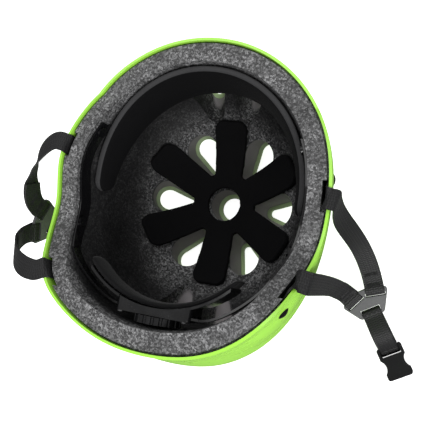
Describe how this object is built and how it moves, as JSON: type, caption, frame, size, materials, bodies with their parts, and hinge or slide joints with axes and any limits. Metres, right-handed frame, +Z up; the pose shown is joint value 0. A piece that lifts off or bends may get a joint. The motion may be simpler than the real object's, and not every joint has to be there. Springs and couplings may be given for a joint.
{
  "type": "skateboard helmet",
  "caption": "Open dome helmet with vented glossy shell, foam liner, comfort pads, dial-adjusted nape cradle and webbing chin straps with side-release buckle.",
  "frame": {"origin": "on the axis of the round crown vent, at the plane that the crown rests on", "axes": "+Z up out of the head opening along the crown vent's axis, +Y towards the forehead, +X towards the wearer's left"},
  "size_m": [0.3042, 0.2445, 0.1526],
  "materials": {
    "shell_green": "glossy injection-moulded",
    "bead_foam": "expanded bead foam, speckled dark grey",
    "pad_cloth": "brushed knit over foam",
    "hook_tape": "hook tape",
    "rivet_steel": "plated",
    "webbing": "ribbed woven webbing",
    "strip_black": "satin nylon",
    "cradle_black": "glossy",
    "lining_foam": "closed-cell foam",
    "screw_steel": "blackened",
    "dial_black": "soft-touch grip",
    "rack_black": "satin nylon",
    "buckle_black": "satin acetal",
    "rubber_black": "matt"
  },
  "bodies": {
    "helmet": {"outer_shell": "shell_green", "foam_liner": "bead_foam", "crown_pad": "pad_cloth", "brow_pad": "pad_cloth", "hook_dots": "hook_tape", "strap_rivets": "rivet_steel", "rivet_washers": "rivet_steel", "left_strap_tabs": "webbing", "right_strap_tabs": "webbing", "left_headband_strip": "strip_black", "right_headband_strip": "strip_black", "headband_pins": "strip_black"},
    "cradle": {"rear_cradle": "cradle_black", "cradle_lining": "lining_foam", "adjuster_cover": "cradle_black", "adjuster_screws": "screw_steel"},
    "dial": {"adjuster_dial": "dial_black"},
    "left_rack": {"left_rack": "rack_black"},
    "right_rack": {"right_rack": "rack_black"},
    "left_straps": {"left_front_strap": "webbing", "left_rear_strap": "webbing", "left_divider": "buckle_black"},
    "left_chin": {"left_chin_loop": "webbing"},
    "socket": {"buckle_socket": "buckle_black"},
    "right_straps": {"right_front_strap": "webbing", "right_rear_strap": "webbing", "right_divider": "buckle_black"},
    "right_chin": {"right_chin_loop": "webbing", "strap_keeper": "rubber_black"},
    "plug": {"buckle_plug": "buckle_black"},
    "front_prong": {"plug_front_prong": "buckle_black"},
    "rear_prong": {"plug_rear_prong": "buckle_black"}
  },
  "joints": [
    {"name": "cradle_slide", "type": "slide", "parent": "helmet", "child": "cradle", "axis": [0, 1, 0], "range_m": [0, 0.012]},
    {"name": "dial_turn", "type": "hinge", "parent": "cradle", "child": "dial", "pos_m": [0, -0.0947, 0.128], "axis": [0, -1, 0], "range_deg": [0, 216]},
    {"name": "left_rack_slide", "type": "slide", "parent": "cradle", "child": "left_rack", "axis": [-1, 0, 0], "range_m": [0, 0.01885]},
    {"name": "right_rack_slide", "type": "slide", "parent": "cradle", "child": "right_rack", "axis": [1, 0, 0], "range_m": [0, 0.01885]},
    {"name": "left_strap_swing", "type": "hinge", "parent": "helmet", "child": "left_straps", "pos_m": [0.1084, -0.00071, 0.12941], "axis": [-0.1464, -0.9739, 0.1733], "range_deg": [0, 150]},
    {"name": "left_chin_lift", "type": "hinge", "parent": "left_straps", "child": "left_chin", "pos_m": [0.13331, -0.0705, 0.02], "axis": [-0.8537, -0.5208, 0], "range_deg": [-40, 70]},
    {"name": "socket_tilt", "type": "hinge", "parent": "left_chin", "child": "socket", "pos_m": [0.14848, -0.09537, 0.0045], "axis": [-0.8537, -0.5208, 0], "range_deg": [-60, 42]},
    {"name": "right_strap_swing", "type": "hinge", "parent": "helmet", "child": "right_straps", "pos_m": [-0.10636, 0.021, 0.13069], "axis": [-0.1652, 0.9653, -0.2021], "range_deg": [0, 105]},
    {"name": "right_chin_swing", "type": "hinge", "parent": "right_straps", "child": "right_chin", "pos_m": [-0.12546, -0.0421, 0.08705], "axis": [0.2, 0.9798, 0], "range_deg": [-15, 80]},
    {"name": "plug_tilt", "type": "hinge", "parent": "right_chin", "child": "plug", "pos_m": [-0.12546, -0.0421, 0.03505], "axis": [0.2, 0.9798, 0], "range_deg": [-60, 60]},
    {"name": "front_prong_flex", "type": "hinge", "parent": "plug", "child": "front_prong", "pos_m": [-0.12418, -0.03583, 0.02575], "axis": [-0.9798, 0.2, 0], "range_deg": [0, 6], "stiffness_Nm_per_rad": 0.05},
    {"name": "rear_prong_flex", "type": "hinge", "parent": "plug", "child": "rear_prong", "pos_m": [-0.12674, -0.04838, 0.02575], "axis": [0.9798, -0.2, 0], "range_deg": [0, 6], "stiffness_Nm_per_rad": 0.05}
  ],
  "couplings": [
    {"joint": "dial_turn", "follows": "cradle_slide", "rad_per_m": 314},
    {"joint": "left_rack_slide", "follows": "cradle_slide", "ratio": 1.57},
    {"joint": "right_rack_slide", "follows": "cradle_slide", "ratio": 1.57}
  ]
}
